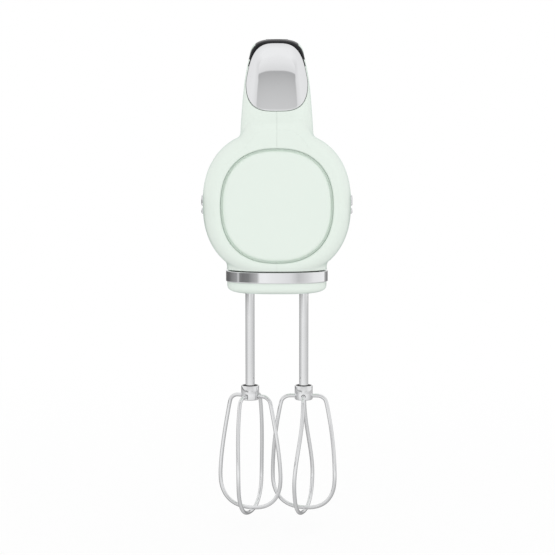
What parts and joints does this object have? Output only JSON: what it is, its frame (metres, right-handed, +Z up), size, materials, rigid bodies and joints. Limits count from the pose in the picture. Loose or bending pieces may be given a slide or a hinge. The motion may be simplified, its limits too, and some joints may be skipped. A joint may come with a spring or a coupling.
{
  "type": "hand mixer",
  "caption": "Electric hand mixer with a looped handle, a round motor barrel on an oval base and two interleaved wire beaters.",
  "frame": {"origin": "centre of the hand grip, which is how the mixer is held", "axes": "+Z up out of the grip, the nose points to -Y, the beaters to -Z, +X is across the two beaters"},
  "size_m": [0.0894, 0.2062, 0.2862],
  "materials": {
    "mint_plastic": "glossy moulded plastic",
    "chromed_plastic": "mirror plating on plastic",
    "black_plastic": "glossy moulded plastic",
    "lens": "dark tinted lens",
    "board": "solder-masked board",
    "soft_rubber": "soft matt rubber",
    "nylon": "natural nylon",
    "die_cast": "die-cast, as cast",
    "bronze": "sintered bronze",
    "laminations": "stacked electrical steel",
    "copper": "enamelled copper",
    "carbon": "pressed carbon",
    "grey_plastic": "satin moulded plastic",
    "bright_steel": "polished stainless steel",
    "plain_steel": "zinc-plated or ground steel"
  },
  "bodies": {
    "root": {"casing_left": "mint_plastic", "casing_right": "mint_plastic", "nose_disc": "mint_plastic", "front_plate": "chromed_plastic", "control_panel": "black_plastic", "display_lens": "lens", "control_board": "board", "chrome_band": "chromed_plastic", "bottom_cover": "mint_plastic", "cover_screws": "plain_steel", "side_trim_left": "chromed_plastic", "side_trim_right": "chromed_plastic", "heel_pad": "soft_rubber", "cord_inlet": "black_plastic", "cord_clamp": "nylon", "casing_screws": "plain_steel", "gearbox_frame": "die_cast", "gearbox_lid": "die_cast", "frame_screws": "plain_steel", "spindle_bushes": "bronze", "motor_stator": "laminations", "field_coils": "copper", "front_bearing": "bronze", "rear_bearing": "bronze", "rear_bracket": "black_plastic", "motor_screws": "plain_steel", "brush_holders": "bronze", "carbon_brushes": "carbon", "eject_spring": "plain_steel", "power_spring": "plain_steel", "minus_spring": "plain_steel", "plus_spring": "plain_steel", "turbo_spring": "plain_steel"},
    "rotor": {"motor_shaft": "plain_steel", "worm": "plain_steel", "armature_core": "laminations", "armature_windings": "copper", "commutator": "copper", "cooling_fan": "nylon"},
    "ejector": {"eject_button": "grey_plastic", "eject_rod": "plain_steel"},
    "spindle_left": {"spindle_left": "plain_steel", "worm_wheel_left": "nylon", "detent_clip_left": "plain_steel"},
    "beater_left": {"beater_shank_left": "bright_steel", "beater_hub_left": "bright_steel", "short_loop_left": "bright_steel", "long_loop_left": "bright_steel"},
    "spindle_right": {"spindle_right": "plain_steel", "worm_wheel_right": "nylon", "detent_clip_right": "plain_steel"},
    "beater_right": {"beater_shank_right": "bright_steel", "beater_hub_right": "bright_steel", "short_loop_right": "bright_steel", "long_loop_right": "bright_steel"},
    "power": {"power_button": "grey_plastic"},
    "minus": {"minus_button": "grey_plastic"},
    "plus": {"plus_button": "grey_plastic"},
    "turbo": {"turbo_button": "grey_plastic"}
  },
  "joints": [
    {"name": "rotor_spin", "type": "hinge", "parent": "root", "child": "rotor", "pos_m": [0, -0.045, -0.084], "axis": [0, 1, 0], "continuous": true},
    {"name": "eject", "type": "slide", "parent": "root", "child": "ejector", "axis": [0, 0, -1], "range_m": [0, 0.008], "stiffness_N_per_m": 500, "springref_m": -0.012, "deforming": ["eject_spring"]},
    {"name": "spindle_left_spin", "type": "hinge", "parent": "root", "child": "spindle_left", "pos_m": [-0.0161, -0.045, -0.084], "axis": [0, 0, 1], "continuous": true},
    {"name": "beater_left_slide", "type": "slide", "parent": "spindle_left", "child": "beater_left", "axis": [0, 0, -1], "range_m": [0, 0.008]},
    {"name": "spindle_right_spin", "type": "hinge", "parent": "root", "child": "spindle_right", "pos_m": [0.0161, -0.045, -0.084], "axis": [0, 0, 1], "continuous": true},
    {"name": "beater_right_slide", "type": "slide", "parent": "spindle_right", "child": "beater_right", "axis": [0, 0, -1], "range_m": [0, 0.008]},
    {"name": "power_press", "type": "slide", "parent": "root", "child": "power", "axis": [0, 0, -1], "range_m": [0, 0.001], "stiffness_N_per_m": 600, "springref_m": -0.001, "deforming": ["power_spring"]},
    {"name": "minus_press", "type": "slide", "parent": "root", "child": "minus", "axis": [0, 0, -1], "range_m": [0, 0.001], "stiffness_N_per_m": 600, "springref_m": -0.001, "deforming": ["minus_spring"]},
    {"name": "plus_press", "type": "slide", "parent": "root", "child": "plus", "axis": [0, 0, -1], "range_m": [0, 0.001], "stiffness_N_per_m": 600, "springref_m": -0.001, "deforming": ["plus_spring"]},
    {"name": "turbo_press", "type": "slide", "parent": "root", "child": "turbo", "axis": [0, 0, -1], "range_m": [0, 0.001], "stiffness_N_per_m": 600, "springref_m": -0.001, "deforming": ["turbo_spring"]}
  ],
  "couplings": [
    {"joint": "spindle_left_spin", "follows": "rotor_spin", "ratio": -0.071429},
    {"joint": "beater_left_slide", "follows": "eject", "ratio": 1},
    {"joint": "spindle_right_spin", "follows": "rotor_spin", "ratio": 0.071429},
    {"joint": "beater_right_slide", "follows": "eject", "ratio": 1}
  ]
}
